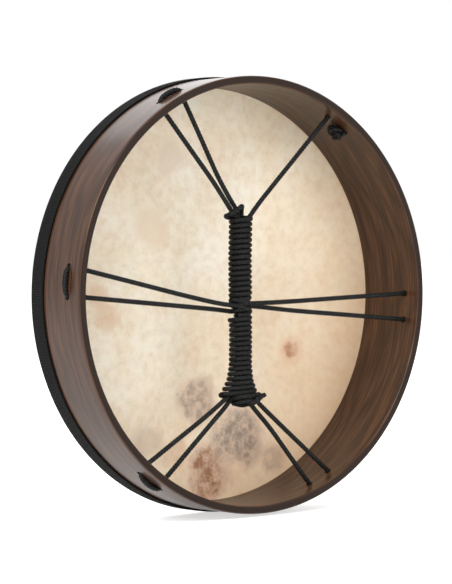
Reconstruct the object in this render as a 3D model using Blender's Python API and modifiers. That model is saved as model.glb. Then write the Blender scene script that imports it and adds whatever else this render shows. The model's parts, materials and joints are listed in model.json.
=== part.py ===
# Hand-held frame drum: a bent wooden hoop with a skin head, laced across its
# open back with one black cord that is bound into a grip in the middle.
#
# The origin is on the drum's axis, in the plane of the lacing holes. +Y points
# to the struck head, -Y out of the open back, and +Z up. Sizes are in metres.

import math

import bpy
import numpy as np
from mathutils import Vector

# Hoop: 16 inches across, one bent strip
HOOP_RADIUS = 0.203
HOOP_DEPTH = 0.0788
HOOP_WALL = 0.0075
REAR_ROUNDING = 0.002
HEAD_ROUNDING = 0.006
BEARING_ROUNDING = 0.0015
TURN_STEPS = 72

# Skin head, lapped over the hoop's edge and glued to the outer wall
SKIN = 0.0006
SEAT_GAP = 0.00025
LAP_START = 0.057

# Ribbon that covers the edge of the lap
RIBBON_START = 0.056
RIBBON_WIDTH = 0.0185
RIBBON_THICKNESS = 0.0006

# Lacing holes: six pairs, drilled on the radius
HOLE_DIAMETER = 0.0064
HOLE_SETBACK = 0.0195
HOLE_HALF_ANGLE = 3.75
PAIR_ANGLES = {
    "upper_right": 55,
    "upper_left": 115,
    "left": 175,
    "lower_left": 235,
    "lower_right": 295,
    "right": 355,
}

# Cord: one braided length, squeezed a little where it is bound
CORD = 0.0049
BOUND_CORD = 0.0045
WOUND_CORD = 0.0046
KNOT_CORD = 0.0034
FACE_GAP = 0.0003

# Grip: height, middle and half width of the binding's own centre line
GRIP_STATIONS = [
    (0.0740, -0.0062, 0.0088),
    (0.0330, -0.0080, 0.0088),
    (-0.0100, -0.0085, 0.0088),
    (-0.0450, -0.0091, 0.0088),
    (-0.0660, -0.0099, 0.0090),
    (-0.0790, -0.0107, 0.0116),
    (-0.0880, -0.0118, 0.0170),
    (-0.0940, -0.0127, 0.0189),
]
GRIP_HALF_DEPTH = 0.0088
CORE_OFFSET = 0.0026
WAIST = -0.0102
CORE_TOP = 0.0630
CORE_FOOT = -0.0710

# Binding: turns of cord above and below the crossing strands
UPPER_START = 0.0712
UPPER_END = 0.0013
UPPER_TURNS = 13.75
LOWER_START = -0.0203
LOWER_END = -0.0910
LOWER_TURNS = 13.75
POINTS_PER_TURN = 24

INNER_RADIUS = HOOP_RADIUS - HOOP_WALL
MID_WALL = HOOP_RADIUS - HOOP_WALL / 2


def clear_scene():
    for obj in list(bpy.data.objects):
        bpy.data.objects.remove(obj, do_unlink=True)


def new_collection(name):
    collection = bpy.data.collections.new(name)
    bpy.context.scene.collection.children.link(collection)
    return collection


def material(name, colour, roughness, metallic=0.0):
    mat = bpy.data.materials.new(name)
    mat.use_nodes = True
    shader = mat.node_tree.nodes["Principled BSDF"]
    shader.inputs["Base Color"].default_value = (*colour, 1)
    shader.inputs["Roughness"].default_value = roughness
    shader.inputs["Metallic"].default_value = metallic
    mat.diffuse_color = (*colour, 1)
    return mat


def place(obj, collection, mat):
    collection.objects.link(obj)
    obj.data.materials.append(mat)


# Turned pieces. A profile is a list of (radius, depth from the rear rim).

def corner(radius, depth, rounding, start, end, steps):
    """Points of a rounded corner about a centre, angles in degrees."""
    points = []
    for i in range(steps + 1):
        angle = math.radians(start + (end - start) * i / steps)
        points.append((radius + rounding * math.cos(angle), depth + rounding * math.sin(angle)))
    return points


def turned(name, profile, closed, collection, mat):
    """Turn a profile about the drum's axis, which is +Y."""
    mesh = bpy.data.meshes.new(name)
    verts = [(radius, 0, depth - HOLE_SETBACK) for radius, depth in profile]
    edges = [(i, i + 1) for i in range(len(verts) - 1)]
    if closed:
        edges.append((len(verts) - 1, 0))
    mesh.from_pydata(verts, edges, [])
    obj = bpy.data.objects.new(name, mesh)
    obj.rotation_euler = (-math.pi / 2, 0, 0)
    screw = obj.modifiers.new("turn", "SCREW")
    screw.axis = "Z"
    screw.angle = 2 * math.pi
    screw.steps = TURN_STEPS
    screw.render_steps = TURN_STEPS
    screw.use_merge_vertices = True
    screw.merge_threshold = 0.00001
    screw.use_smooth_shade = True
    place(obj, collection, mat)
    return obj


def hoop_profile():
    head = HOOP_DEPTH
    profile = corner(HOOP_RADIUS - HEAD_ROUNDING, head - HEAD_ROUNDING, HEAD_ROUNDING, 90, 0, 3)
    profile += corner(HOOP_RADIUS - REAR_ROUNDING, REAR_ROUNDING, REAR_ROUNDING, 0, -90, 3)
    profile += corner(INNER_RADIUS + REAR_ROUNDING, REAR_ROUNDING, REAR_ROUNDING, -90, -180, 3)
    profile += corner(INNER_RADIUS + BEARING_ROUNDING, head - BEARING_ROUNDING, BEARING_ROUNDING, 180, 90, 2)
    return profile[:-1]  # the last point is the first one again


def head_profile():
    """The flat, struck part of the skin, up to where it starts to fold."""
    edge = HOOP_RADIUS - HEAD_ROUNDING - FACE_GAP
    face = HOOP_DEPTH + SEAT_GAP
    return [(0, face + SKIN), (edge, face + SKIN), (edge, face), (0, face)]


def lap_profile():
    """The rest of the same skin, folded over the hoop's rounded edge."""
    centre = HOOP_RADIUS - HEAD_ROUNDING
    depth = HOOP_DEPTH - HEAD_ROUNDING
    outer = HEAD_ROUNDING + SEAT_GAP + SKIN
    inner = HEAD_ROUNDING + SEAT_GAP
    profile = corner(centre, depth, outer, 90, 0, 3)
    profile += [(centre + outer, LAP_START), (centre + inner, LAP_START)]
    profile += corner(centre, depth, inner, 0, 90, 3)
    return profile


def ribbon_profile():
    inner = HOOP_RADIUS + 2 * SEAT_GAP + SKIN
    outer = inner + RIBBON_THICKNESS
    end = RIBBON_START + RIBBON_WIDTH
    return [(outer, end), (outer, RIBBON_START), (inner, RIBBON_START), (inner, end)]


# Lacing holes

def hole_angles(pair):
    """The two hole angles of a pair in radians, the lower number first."""
    middle = PAIR_ANGLES[pair]
    return math.radians(middle - HOLE_HALF_ANGLE), math.radians(middle + HOLE_HALF_ANGLE)


def on_radius(radius, angle, depth=0.0):
    return Vector((radius * math.cos(angle), depth, radius * math.sin(angle)))


def drill_holes(hoop, cutters):
    for pair in PAIR_ANGLES:
        for angle in hole_angles(pair):
            bpy.ops.mesh.primitive_cylinder_add(
                vertices=12, radius=HOLE_DIAMETER / 2, depth=3 * HOOP_WALL,
                location=on_radius(MID_WALL, angle))
            cutter = bpy.context.object
            cutter.name = "hole_cutter"
            cutter.rotation_euler = (0, math.pi / 2 - angle, 0)
            cutter.hide_render = True
            cutter.display_type = "WIRE"
            for owner in list(cutter.users_collection):
                owner.objects.unlink(cutter)
            cutters.objects.link(cutter)
    cut = hoop.modifiers.new("lacing_holes", "BOOLEAN")
    cut.operation = "DIFFERENCE"
    cut.solver = "EXACT"
    cut.operand_type = "COLLECTION"
    cut.collection = cutters


# Cord. A route is a list of chosen points, and the cord follows the smooth
# curve through them.

def smooth_curve(route, step=0.001):
    """Centripetal Catmull-Rom curve through a route, as closely spaced points."""
    pts = [np.array(p, dtype=float) for p in route]
    pts = [2 * pts[0] - pts[1]] + pts + [2 * pts[-1] - pts[-2]]
    curve = []
    for i in range(1, len(pts) - 2):
        p0, p1, p2, p3 = pts[i - 1:i + 3]
        t0 = 0.0
        t1 = t0 + math.sqrt(np.linalg.norm(p1 - p0))
        t2 = t1 + math.sqrt(np.linalg.norm(p2 - p1))
        t3 = t2 + math.sqrt(np.linalg.norm(p3 - p2))
        count = max(2, round(np.linalg.norm(p2 - p1) / step))
        for t in np.linspace(t1, t2, count, endpoint=False):
            a1 = (t1 - t) / (t1 - t0) * p0 + (t - t0) / (t1 - t0) * p1
            a2 = (t2 - t) / (t2 - t1) * p1 + (t - t1) / (t2 - t1) * p2
            a3 = (t3 - t) / (t3 - t2) * p2 + (t - t2) / (t3 - t2) * p3
            b1 = (t2 - t) / (t2 - t0) * a1 + (t - t0) / (t2 - t0) * a2
            b2 = (t3 - t) / (t3 - t1) * a2 + (t - t1) / (t3 - t1) * a3
            curve.append((t2 - t) / (t2 - t1) * b1 + (t - t1) / (t2 - t1) * b2)
    curve.append(pts[-2])
    return curve


def thinned(curve, slack=0.0001, longest=0.02):
    """Drop the points that a straight run can spare."""
    kept = [0]
    while kept[-1] < len(curve) - 1:
        start = kept[-1]
        end = start + 1
        while end < len(curve) - 1:
            chord = curve[end + 1] - curve[start]
            length = np.linalg.norm(chord)
            between = np.array(curve[start + 1:end + 1]) - curve[start]
            off = np.linalg.norm(np.cross(between, chord / length), axis=1).max()
            if off > slack or length > longest:
                break
            end += 1
        kept.append(end)
    return [curve[i] for i in kept]


def tube(name, points, diameters, sides, collection, mat):
    """A closed round tube along points, with a diameter at each point."""
    data = bpy.data.curves.new(name, "CURVE")
    data.dimensions = "3D"
    data.bevel_depth = 0.5
    data.bevel_resolution = (sides - 4) // 2
    data.use_fill_caps = True
    data.twist_mode = "MINIMUM"
    spline = data.splines.new("POLY")
    spline.points.add(len(points) - 1)
    for point, place_at, diameter in zip(spline.points, points, diameters):
        point.co = (*place_at, 1)
        point.radius = diameter
    spline.use_smooth = True
    obj = bpy.data.objects.new(name, data)
    place(obj, collection, mat)
    return obj


def cord(name, route, collection, mat, diameter=CORD, bound=BOUND_CORD, sides=8):
    """A stretch of cord. It is squeezed to the bound diameter inside the grip."""
    points = thinned(smooth_curve(route))
    diameters = [bound if inside_grip(point) else diameter for point in points]
    return tube(name, points, diameters, sides, collection, mat)


# Grip

def station(height):
    """Middle and half width of the binding's centre line at a height."""
    heights = [row[0] for row in reversed(GRIP_STATIONS)]
    middles = [row[1] for row in reversed(GRIP_STATIONS)]
    widths = [row[2] for row in reversed(GRIP_STATIONS)]
    return float(np.interp(height, heights, middles)), float(np.interp(height, heights, widths))


def inside_grip(point):
    middle, half_width = station(point[2])
    across = abs(point[0] - middle) < half_width
    along = GRIP_STATIONS[-1][0] - 0.002 < point[2] < GRIP_STATIONS[0][0]
    return across and along and abs(point[1]) < GRIP_HALF_DEPTH


def helix(start, end, turns, first_angle, proud=None):
    """The binding's turns: down from start to end, seen from above clockwise."""
    count = round(turns * POINTS_PER_TURN)
    points = []
    for i in range(count + 1):
        share = i / count
        height = start + (end - start) * share
        angle = math.radians(first_angle) - 2 * math.pi * turns * share
        middle, half_width = station(height)
        extra = proud(share * turns) if proud else 0.0
        points.append(np.array((
            middle + (half_width + extra) * math.cos(angle),
            (GRIP_HALF_DEPTH + extra) * math.sin(angle),
            height,
        )))
    return points


def least_gap(points, diameter, skip):
    """Least gap between a wound tube and itself, measured on its points."""
    pts = np.array(points)
    least = 1.0
    for i in range(len(pts) - skip):
        start = pts[i + skip:-1]
        run = pts[i + skip + 1:] - start
        if len(start) == 0:
            break
        share = ((pts[i] - start) * run).sum(1) / (run * run).sum(1)
        nearest = start + run * np.clip(share, 0, 1)[:, None]
        least = min(least, np.linalg.norm(nearest - pts[i], axis=1).min() - diameter)
    return least


def core_place(side, face, height):
    """Place of a core strand: side -1 left or 1 right, face -1 rear or 1 head side."""
    middle, _ = station(height)
    return (middle + side * CORE_OFFSET, face * CORE_OFFSET, height)


def from_hole(angle, toward):
    """First points of a strand: square in its hole, then aimed at a point."""
    start = on_radius(MID_WALL - FACE_GAP / 2, angle)
    lip = on_radius(INNER_RADIUS - 0.001, angle)
    aim = Vector(toward)
    return [start, on_radius(INNER_RADIUS + 0.002, angle), lip, lip.lerp(aim, 0.12), lip.lerp(aim, 0.5), aim]


def core_end(side, face, split):
    """Last points of a strand, square to the core stretch that carries on from it."""
    outward = math.copysign(1, split)
    return [core_place(side, face, split + outward * 0.0030),
            core_place(side, face, split + outward * FACE_GAP / 2)]


def build_strands(collection, mat):
    """The inner stretches of the upper and lower pairs, from the holes into the grip."""
    low, high = 0, 1

    # The upper left pair runs side by side to the collar, then one strand
    # goes to the rear and the other to the head side of the core
    ends = hole_angles("upper_left")
    cord("strand_upper_left_a", from_hole(ends[high], (-0.0370, 0.0, 0.1045)) + [
        (-0.0226, -0.0002, 0.0856), (-0.0152, -0.0006, 0.0757), (-0.0110, -0.0018, 0.0714)]
        + core_end(-1, -1, CORE_TOP), collection, mat)
    cord("strand_upper_left_b", from_hole(ends[low], (-0.0322, 0.0, 0.1105)) + [
        (-0.0180, 0.0002, 0.0890), (-0.0108, 0.0007, 0.0793), (-0.0081, 0.0021, 0.0742)]
        + core_end(-1, 1, CORE_TOP), collection, mat)
    ends = hole_angles("upper_right")
    cord("strand_upper_right", from_hole(ends[high], (0.0190, 0.0, 0.0884)) + [
        (0.0080, -0.0002, 0.0786), (0.0004, -0.0010, 0.0752), (-0.0034, -0.0022, 0.0697)]
        + core_end(1, -1, CORE_TOP), collection, mat)

    # The lower pairs fan out of the binding in one plane
    ends = hole_angles("lower_left")
    cord("strand_lower_left_a", from_hole(ends[low], (-0.0527, 0.0, -0.1115)) + [
        (-0.0330, 0.0, -0.0991), (-0.0240, -0.0007, -0.0922), (-0.0184, -0.0018, -0.0848),
        (-0.0141, -0.0024, -0.0785)] + core_end(-1, -1, CORE_FOOT), collection, mat)
    cord("strand_lower_left_b", from_hole(ends[high], (-0.0457, 0.0, -0.1180)) + [
        (-0.0254, 0.0006, -0.1006), (-0.0176, 0.0017, -0.0917), (-0.0141, 0.0024, -0.0830)]
        + core_end(-1, 1, CORE_FOOT), collection, mat)
    ends = hole_angles("lower_right")
    cord("strand_lower_right_a", from_hole(ends[low], (0.0244, 0.0, -0.1262)) + [
        (0.0018, 0.0010, -0.1016), (-0.0044, 0.0018, -0.0925), (-0.0073, 0.0024, -0.0840)]
        + core_end(1, 1, CORE_FOOT), collection, mat)
    cord("strand_lower_right_b", from_hole(ends[high], (0.0366, 0.0, -0.1234)) + [
        (0.0088, -0.0005, -0.1000), (-0.0004, -0.0014, -0.0916), (-0.0044, -0.0021, -0.0840),
        (-0.0070, -0.0024, -0.0775)] + core_end(1, -1, CORE_FOOT), collection, mat)


def build_core(collection, mat):
    """What the binding goes round: three strands and the binding's own lead
    above the waist, four strands below it."""
    upper = {"core_upper_a": (-1, -1), "core_upper_b": (-1, 1), "core_upper_c": (1, -1)}
    lower = {"core_lower_a": (-1, -1), "core_lower_b": (-1, 1), "core_lower_c": (1, 1), "core_lower_d": (1, -1)}
    for name, (side, face) in upper.items():
        cord(name, [core_place(side, face, CORE_TOP - FACE_GAP / 2), core_place(side, face, 0.0330),
                    core_place(side, face, WAIST + FACE_GAP / 2)], collection, mat, diameter=BOUND_CORD)
    for name, (side, face) in lower.items():
        cord(name, [core_place(side, face, CORE_FOOT + FACE_GAP / 2), core_place(side, face, -0.0450),
                    core_place(side, face, WAIST - FACE_GAP / 2)], collection, mat, diameter=BOUND_CORD)
    cord("binding_lead", [
        core_place(1, 1, WAIST + FACE_GAP / 2), core_place(1, 1, 0.0330), core_place(1, 1, 0.0600),
        (-0.0032, 0.0030, 0.0680), (-0.0029, 0.0032, 0.0735)], collection, mat, diameter=BOUND_CORD)


def hook(start_angle, end_angle, start_height, end_height):
    """Half a turn round the core at the waist, as points."""
    points = []
    steps = 6
    for i in range(steps + 1):
        share = i / steps
        angle = math.radians(start_angle + (end_angle - start_angle) * share)
        height = start_height + (end_height - start_height) * share
        middle, half_width = station(height)
        points.append((
            middle + half_width * math.cos(angle),
            GRIP_HALF_DEPTH * math.sin(angle),
            height,
        ))
    return points


def meeting(side, face, height):
    """Last points of a hook, square to the face that it meets."""
    middle, half_width = station(height)
    across = middle + side * half_width
    return [(across, face * 0.0026, height), (across, face * FACE_GAP / 2, height)]


def build_waist(collection, mat):
    """The left and right pairs, each hooked once round the core."""
    low, high = 0, 1
    # Left pair: one goes down across the rear, one behind, and they meet at the right
    left = hole_angles("left")
    cord("strand_left_a", from_hole(left[low], (-0.0674, -0.0010, 0.0001)) + [
        (-0.0330, -0.0036, -0.0074)] + hook(215, 325, -0.0098, -0.0152) + meeting(1, -1, -0.0156),
        collection, mat)
    cord("strand_left_b", from_hole(left[high], (-0.0673, 0.0010, -0.0091)) + [
        (-0.0330, 0.0036, -0.0128)] + hook(145, 35, -0.0150, -0.0155) + meeting(1, 1, -0.0156),
        collection, mat)
    # Right pair: the same from the other side, above the left pair
    right = hole_angles("right")
    cord("strand_right_a", from_hole(right[high], (0.0511, -0.0010, -0.0077)) + [
        (0.0170, -0.0036, -0.0080)] + hook(-35, -145, -0.0078, -0.0046) + meeting(-1, -1, -0.0042),
        collection, mat)
    cord("strand_right_b", from_hole(right[low], (0.0509, 0.0010, -0.0160)) + [
        (0.0170, 0.0036, -0.0118)] + hook(35, 145, -0.0098, -0.0052) + meeting(-1, 1, -0.0042),
        collection, mat)


def build_binding(collection, mat):
    """The two windings and the hitches that start and end them."""
    start = [
        (-0.0029, 0.0032, 0.0735 + FACE_GAP), (-0.0028, 0.0032, 0.0772), (-0.0040, 0.0012, 0.0810),
        (-0.0076, -0.0036, 0.0824), (-0.0127, -0.0062, 0.0808), (-0.0186, -0.0052, 0.0768),
        (-0.0214, 0.0004, 0.0743), (-0.0186, 0.0062, 0.0734), (-0.0128, 0.0098, 0.0724),
    ]
    turns = helix(UPPER_START, UPPER_END, UPPER_TURNS, 75, lambda turn: 0.0016 * math.exp(-turn / 0.25))
    upper = thinned(smooth_curve(start + [turns[0]]), slack=0.00012, longest=0.003)[:-1] + turns
    tube("winding_upper", upper, [WOUND_CORD] * len(upper), 6, collection, mat)
    gap = least_gap(upper, WOUND_CORD, POINTS_PER_TURN // 2)
    print("winding_upper least gap %.2f mm" % (gap * 1000))

    lower = helix(LOWER_START, LOWER_END, LOWER_TURNS, 90,
                  lambda turn: 0.0014 * math.exp(-((turn - 0.75) / 0.2) ** 2))
    tube("winding_lower", lower, [WOUND_CORD] * len(lower), 6, collection, mat)
    gap = least_gap(lower, WOUND_CORD, POINTS_PER_TURN // 2)
    print("winding_lower least gap %.2f mm" % (gap * 1000))


def build_end_hitch(collection, mat):
    """The binding's last cord: behind the left pair, up through the fork, and
    over the front of the right pair to its cut end."""
    cord("end_hitch", [
        (-0.0303, 0.0003 + FACE_GAP, -0.0911), (-0.0302, 0.0042, -0.0916), (-0.0268, 0.0082, -0.0936),
        (-0.0190, 0.0090, -0.0974), (-0.0125, 0.0070, -0.1008), (-0.0100, 0.0015, -0.1036),
        (-0.0094, -0.0045, -0.1030), (-0.0070, -0.0082, -0.0995), (-0.0010, -0.0092, -0.0966),
        (0.0060, -0.0082, -0.0957), (0.0130, -0.0072, -0.0954)],
        collection, mat, diameter=WOUND_CORD, bound=WOUND_CORD)


def build_stopper_knot(collection, mat):
    """The overhand knot that holds the cord's first end against the inner wall."""
    reach, ring, round_ring = 0.0069, 0.0046, 0.0023
    hole = hole_angles("upper_right")[0]
    low = INNER_RADIUS - round_ring - KNOT_CORD / 2 - 2 * FACE_GAP
    side = 0.0042
    middle = on_radius(low, hole + reach / low, side)
    inward = -on_radius(1, hole + reach / low)
    along = Vector((0, -1, 0))
    across = along.cross(inward)
    across = across if across.dot(on_radius(1, hole) - on_radius(1, hole + 0.1)) > 0 else -across
    loop = []
    steps = 30
    for i in range(steps + 1):
        t = 2 * math.pi * i / steps
        rise = math.sin(3 * t)
        if t < math.pi / 6:
            rise = 1.0
        if t > 2 * math.pi - math.pi / 6:
            rise = -1.0
        wide = ring + round_ring * math.cos(3 * t)
        loop.append(middle + across * wide * math.cos(2 * t) - along * wide * math.sin(2 * t)
                    - inward * round_ring * rise)
    start = [on_radius(MID_WALL - FACE_GAP / 2, hole), on_radius(INNER_RADIUS + 0.0006, hole),
             on_radius(INNER_RADIUS - 0.0014, hole, 0.0006), on_radius(INNER_RADIUS - 0.0024, hole, 0.0022)]
    tail = [loop[-1] - along * 0.004, loop[-1] - along * 0.008]
    points = [np.array(p) for p in start + loop + tail]
    tube("stopper_knot", points, [KNOT_CORD] * len(points), 6, collection, mat)
    print("stopper_knot least gap %.2f mm" % (least_gap(points, KNOT_CORD, 6) * 1000))


def build_bights(collection, mat):
    """Outside the hoop each pair of holes is joined by one short bight."""
    for pair in PAIR_ANGLES:
        first, last = hole_angles(pair)
        half = (last - first) / 2 * HOOP_RADIUS
        near = [(0.0, -HOOP_WALL / 2 + FACE_GAP / 2), (0.00005, -0.0015), (0.0005, 0.0009), (0.0019, 0.0026)]
        near += [(0.0042, 0.0031), (0.0085, 0.0033)]
        route = [on_radius(HOOP_RADIUS + rise, first + along / HOOP_RADIUS) for along, rise in near]
        route.append(on_radius(HOOP_RADIUS + 0.0033, first + half / HOOP_RADIUS))
        route += [on_radius(HOOP_RADIUS + rise, last - along / HOOP_RADIUS) for along, rise in reversed(near)]
        cord("bight_" + pair, route, collection, mat)


def main():
    clear_scene()
    drum = new_collection("frame_drum")
    cutters = new_collection("cutters")

    wood = material("walnut_stained_hoop", (0.085, 0.04, 0.02), 0.35)
    skin = material("natural_skin", (0.62, 0.5, 0.37), 0.6)
    ribbon = material("black_ribbon", (0.012, 0.012, 0.013), 0.65)
    black_cord = material("black_braided_cord", (0.008, 0.008, 0.009), 0.7)

    hoop = turned("hoop", hoop_profile(), True, drum, wood)
    drill_holes(hoop, cutters)
    turned("head", head_profile(), False, drum, skin)
    turned("head_lap", lap_profile(), True, drum, skin)
    turned("edge_ribbon", ribbon_profile(), True, drum, ribbon)
    build_strands(drum, black_cord)
    build_core(drum, black_cord)
    build_waist(drum, black_cord)
    build_binding(drum, black_cord)
    build_end_hitch(drum, black_cord)
    build_stopper_knot(drum, black_cord)
    build_bights(drum, black_cord)


main()
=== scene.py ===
# A hand-held frame drum: bent walnut-stained hoop, skin head, black ribbon over
# the glued edge, and one black braided cord laced across the open back.

import json
import math

import bmesh
import bpy
import numpy as np
from mathutils import Matrix, Vector, noise

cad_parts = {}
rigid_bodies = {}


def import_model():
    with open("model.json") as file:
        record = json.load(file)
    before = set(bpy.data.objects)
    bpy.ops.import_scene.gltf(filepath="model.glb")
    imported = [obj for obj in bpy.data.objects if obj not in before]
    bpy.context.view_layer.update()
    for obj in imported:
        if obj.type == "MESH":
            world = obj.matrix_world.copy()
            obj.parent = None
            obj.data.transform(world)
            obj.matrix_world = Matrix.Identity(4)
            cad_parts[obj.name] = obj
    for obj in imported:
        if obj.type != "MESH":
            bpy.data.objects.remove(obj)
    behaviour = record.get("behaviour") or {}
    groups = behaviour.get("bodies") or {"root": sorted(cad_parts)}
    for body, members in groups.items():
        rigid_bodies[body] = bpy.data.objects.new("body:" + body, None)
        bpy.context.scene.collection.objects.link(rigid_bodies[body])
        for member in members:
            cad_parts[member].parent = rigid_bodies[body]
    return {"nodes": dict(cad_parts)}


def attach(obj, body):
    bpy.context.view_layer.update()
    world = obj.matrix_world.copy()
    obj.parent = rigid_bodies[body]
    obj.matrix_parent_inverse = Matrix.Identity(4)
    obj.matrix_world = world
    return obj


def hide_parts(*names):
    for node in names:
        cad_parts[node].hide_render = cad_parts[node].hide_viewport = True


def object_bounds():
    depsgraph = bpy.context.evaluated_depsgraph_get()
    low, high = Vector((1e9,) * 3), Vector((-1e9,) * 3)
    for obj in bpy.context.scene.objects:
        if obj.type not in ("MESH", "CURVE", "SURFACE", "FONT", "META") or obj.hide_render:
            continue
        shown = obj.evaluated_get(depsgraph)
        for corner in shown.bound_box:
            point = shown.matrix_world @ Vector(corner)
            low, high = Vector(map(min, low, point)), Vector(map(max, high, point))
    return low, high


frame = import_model()
boxAtLoad = [list(corner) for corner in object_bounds()]
print("frame loaded,", len(frame["nodes"]), "nodes")

mm = 0.001
scene = bpy.context.scene
scene.view_settings.view_transform = "Standard"

drum = {
    "radius": 203 * mm,
    "wall": 7.5 * mm,
    "depth": 78.8 * mm,
    "rear": -19.5 * mm,
    "skin": 0.6 * mm,
    "seatGap": 0.25 * mm,
}
innerRadius = drum["radius"] - drum["wall"]
midWall = drum["radius"] - drum["wall"] / 2
headPlane = drum["rear"] + drum["depth"]


# Small helpers

def linear(code):
    # sRGB hex to the linear colour that a socket takes
    parts = [int(code[i:i + 2], 16) / 255 for i in (1, 3, 5)]
    return (*[c / 12.92 if c <= 0.04045 else ((c + 0.055) / 1.055) ** 2.4 for c in parts], 1)


def addNode(tree, kind, settings=None, inputs=None):
    node = tree.nodes.new(kind)
    for name, value in (settings or {}).items():
        setattr(node, name, value)
    for name, value in (inputs or {}).items():
        socket = node.inputs[name]
        if isinstance(value, bpy.types.NodeSocket):
            tree.links.new(value, socket)
        else:
            socket.default_value = value
    return node


def setRamp(node, stops):
    ramp = node.color_ramp
    while len(ramp.elements) > 1:
        ramp.elements.remove(ramp.elements[-1])
    ramp.elements[0].position, ramp.elements[0].color = stops[0][0], linear(stops[0][1])
    for position, code in stops[1:]:
        ramp.elements.new(position).color = linear(code)


def newMaterial(name):
    mat = bpy.data.materials.new(name)
    mat.use_nodes = True
    tree = mat.node_tree
    tree.nodes.clear()
    shader = addNode(tree, "ShaderNodeBsdfPrincipled")
    addNode(tree, "ShaderNodeOutputMaterial", inputs={"Surface": shader.outputs[0]})
    return mat, tree, shader


def newPiece(name, mesh, mat, nodes):
    obj = bpy.data.objects.new(name, mesh)
    scene.collection.objects.link(obj)
    if not mesh.materials:
        mesh.materials.append(mat)
    mesh.materials[0] = mat
    mesh.shade_smooth()
    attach(obj, "root")
    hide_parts(*nodes)
    return obj


def newTree(name, shape, inputs):
    # a geometry nodes tree with named inputs, and the identifiers that set them
    tree = bpy.data.node_groups.new(name, "GeometryNodeTree")
    sockets = tree.interface
    sockets.new_socket(shape, in_out="INPUT", socket_type="NodeSocketGeometry")
    ids = {}
    for label, kind in inputs.items():
        ids[label] = sockets.new_socket(label, in_out="INPUT", socket_type="NodeSocket" + kind).identifier
    sockets.new_socket("Mesh", in_out="OUTPUT", socket_type="NodeSocketGeometry")
    return tree, ids, addNode(tree, "NodeGroupInput")


def endTree(tree, shape, finish):
    real = addNode(tree, "GeometryNodeRealizeInstances", inputs={0: shape})
    done = addNode(tree, "GeometryNodeSetMaterial", inputs={"Geometry": real.outputs[0], "Material": finish})
    addNode(tree, "NodeGroupOutput", inputs={0: done.outputs[0]})


def plainMesh(obj):
    # the evaluated result as a mesh, with the helper object removed
    graph = bpy.context.evaluated_depsgraph_get()
    mesh = bpy.data.meshes.new_from_object(obj.evaluated_get(graph), preserve_all_data_layers=True,
                                           depsgraph=graph)
    bpy.data.objects.remove(obj, do_unlink=True)
    return mesh


def onRadius(radius, angle, depth=0.0):
    return Vector((radius * math.cos(angle), depth, radius * math.sin(angle)))


def turnedMesh(name, profile, steps):
    # a closed profile of (radius, y) points turned round the drum's axis
    rows = len(profile)
    verts = []
    for step in range(steps):
        angle = 2 * math.pi * step / steps
        verts += [onRadius(radius, angle, y) for radius, y in profile]
    faces = []
    for step in range(steps):
        here = step * rows
        there = (step + 1) % steps * rows
        for row in range(rows):
            after = (row + 1) % rows
            faces.append((here + row, there + row, there + after, here + after))
    mesh = bpy.data.meshes.new(name)
    mesh.from_pydata(verts, [], faces)
    return mesh


def roundedCorner(radius, y, rounding, start, end, steps):
    points = []
    for i in range(steps + 1):
        angle = math.radians(start + (end - start) * i / steps)
        points.append((radius + rounding * math.cos(angle), y + rounding * math.sin(angle)))
    return points


def outwardNormals(mesh):
    work = bmesh.new()
    work.from_mesh(mesh)
    bmesh.ops.remove_doubles(work, verts=work.verts, dist=0.000001)
    bmesh.ops.recalc_face_normals(work, faces=work.faces)
    work.to_mesh(mesh)
    work.free()


# Camera: long lens, seen from behind the open back and to the left

camera = {
    "target": (0, drum["rear"], 0),
    "azimuth": -38.485,
    "elevation": 1.439,
    "distance": 2.4503,
    "aimAcross": -0.01298,
    "aimUp": 0.001372,
    "roll": -0.018226,
    "lens": 163.05,
}


def makeCamera():
    az, el = math.radians(camera["azimuth"]), math.radians(camera["elevation"])
    back = Vector((math.sin(az) * math.cos(el), -math.cos(az) * math.cos(el), math.sin(el)))
    right = (-back).cross(Vector((0, 0, 1))).normalized()
    up = right.cross(-back).normalized()
    ahead = (-back + math.tan(camera["aimAcross"]) * right + math.tan(camera["aimUp"]) * up).normalized()
    right = ahead.cross(Vector((0, 0, 1))).normalized()
    up = right.cross(ahead).normalized()
    c, s = math.cos(camera["roll"]), math.sin(camera["roll"])
    across, upright = c * right + s * up, -s * right + c * up
    data = bpy.data.cameras.new("camera")
    data.lens = camera["lens"]
    data.clip_end = 60
    obj = bpy.data.objects.new("camera", data)
    scene.collection.objects.link(obj)
    turn = Matrix((across, upright, -ahead)).transposed().to_4x4()
    obj.matrix_world = Matrix.Translation(Vector(camera["target"]) + back * camera["distance"]) @ turn
    scene.camera = obj


makeCamera()
print("camera made")


# Stained wood: thin ash veneer round the hoop, stained walnut and lacquered.
# The fibres run round the hoop as dark and light streaks, with long wavy
# figure between them, and the lacquer gives pale sheens at a low angle.

veneer = {
    "fibrePitch": 1.6 * mm,  # a bundle of fibres: single pores are too fine to show
    "fibreLength": 50 * mm,
    "figurePitch": 15 * mm,
    "figureStretch": (7, 16, 7),
    "figureSway": 34.0,
    "figureShare": 0.5,
    "streaks": [(0.3, "#2c1a10"), (0.46, "#422a1b"), (0.58, "#523623"), (0.75, "#71492d")],
    "figure": [(0.0, "#8a7c70"), (0.35, "#d8d0c8"), (1.0, "#ffffff")],
    "edgeStain": "#24150c",
    "edgeStart": 0.5 * mm,
    "edgeFull": 0.12 * mm,
    "poreDepth": 0.05 * mm,
    "roughness": (0.42, 0.58),
    "coat": (0.38, 0.06),
    "coatRoughness": 0.2,
}


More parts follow.
